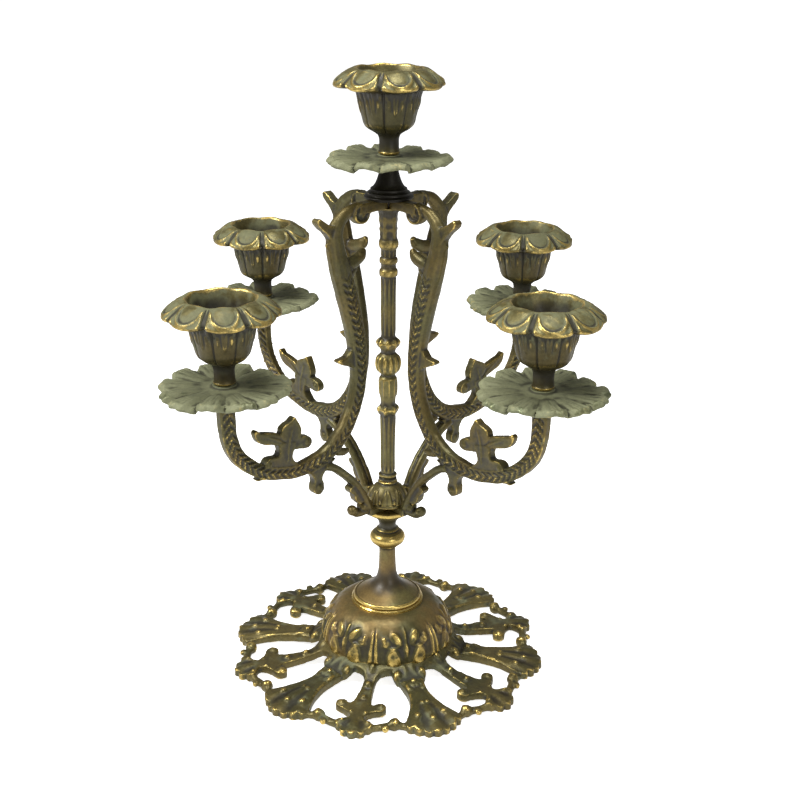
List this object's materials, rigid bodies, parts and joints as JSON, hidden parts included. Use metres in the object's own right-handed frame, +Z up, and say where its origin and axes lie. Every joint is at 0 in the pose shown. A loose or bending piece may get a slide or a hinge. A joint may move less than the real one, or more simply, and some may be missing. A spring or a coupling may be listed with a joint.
{
  "type": "candelabra",
  "caption": "Tabletop candelabra with scrolled branching arms and a raised centre light on a pierced round foot, each candle cup with its own drip pan.",
  "frame": {"origin": "centre of the foot's underside, on the surface it stands on", "axes": "+Z up the column, +X and +Y along two neighbouring arms"},
  "size_m": [0.278, 0.278, 0.3306],
  "materials": {
    "foot_brass": "aged cast brass, grey-green patina in the skirt, rubbed bright on the dome",
    "stem_brass": "aged turned brass with coppery patches",
    "column_brass": "aged cast brass, olive brown",
    "cap_brass": "near-black patina on brass",
    "arm_brass": "aged cast brass with dark recesses",
    "pan_brass": "matte grey-green verdigris",
    "cup_brass": "aged cast brass with rubbed golden edges",
    "rod_steel": "dull threaded steel"
  },
  "bodies": {
    "base": {"foot": "foot_brass"},
    "candelabrum": {"stem": "stem_brass", "bell": "column_brass", "column": "column_brass", "cap": "cap_brass", "tie_rod": "rod_steel", "washer": "rod_steel", "nut": "rod_steel", "arm_1": "arm_brass", "arm_2": "arm_brass", "arm_3": "arm_brass", "arm_4": "arm_brass", "arm_stud_1": "rod_steel", "arm_stud_2": "rod_steel", "arm_stud_3": "rod_steel", "arm_stud_4": "rod_steel"},
    "pan_1": {"drip_pan_1": "pan_brass"},
    "cup_1": {"candle_cup_1": "cup_brass"},
    "pan_2": {"drip_pan_2": "pan_brass"},
    "cup_2": {"candle_cup_2": "cup_brass"},
    "pan_3": {"drip_pan_3": "pan_brass"},
    "cup_3": {"candle_cup_3": "cup_brass"},
    "pan_4": {"drip_pan_4": "pan_brass"},
    "cup_4": {"candle_cup_4": "cup_brass"},
    "pan_top": {"drip_pan_top": "pan_brass"},
    "cup_top": {"candle_cup_top": "cup_brass"}
  },
  "joints": [
    {"name": "turn_on_foot", "type": "hinge", "parent": "base", "child": "candelabrum", "pos_m": [0, 0, 0.0365], "axis": [0, 0, 1], "continuous": true},
    {"name": "pan_turn_1", "type": "hinge", "parent": "candelabrum", "child": "pan_1", "pos_m": [0.107, 0, 0.187], "axis": [0, 0, 1], "continuous": true},
    {"name": "cup_lift_1", "type": "slide", "parent": "candelabrum", "child": "cup_1", "axis": [0, 0, 1], "range_m": [0, 0.02]},
    {"name": "pan_turn_2", "type": "hinge", "parent": "candelabrum", "child": "pan_2", "pos_m": [0, 0.107, 0.187], "axis": [0, 0, 1], "continuous": true},
    {"name": "cup_lift_2", "type": "slide", "parent": "candelabrum", "child": "cup_2", "axis": [0, 0, 1], "range_m": [0, 0.02]},
    {"name": "pan_turn_3", "type": "hinge", "parent": "candelabrum", "child": "pan_3", "pos_m": [-0.107, 0, 0.187], "axis": [0, 0, 1], "continuous": true},
    {"name": "cup_lift_3", "type": "slide", "parent": "candelabrum", "child": "cup_3", "axis": [0, 0, 1], "range_m": [0, 0.02]},
    {"name": "pan_turn_4", "type": "hinge", "parent": "candelabrum", "child": "pan_4", "pos_m": [0, -0.107, 0.187], "axis": [0, 0, 1], "continuous": true},
    {"name": "cup_lift_4", "type": "slide", "parent": "candelabrum", "child": "cup_4", "axis": [0, 0, 1], "range_m": [0, 0.02]},
    {"name": "pan_turn_top", "type": "hinge", "parent": "candelabrum", "child": "pan_top", "pos_m": [0, 0, 0.2837], "axis": [0, 0, 1], "continuous": true},
    {"name": "cup_lift_top", "type": "slide", "parent": "candelabrum", "child": "cup_top", "axis": [0, 0, 1], "range_m": [0, 0.02]}
  ]
}
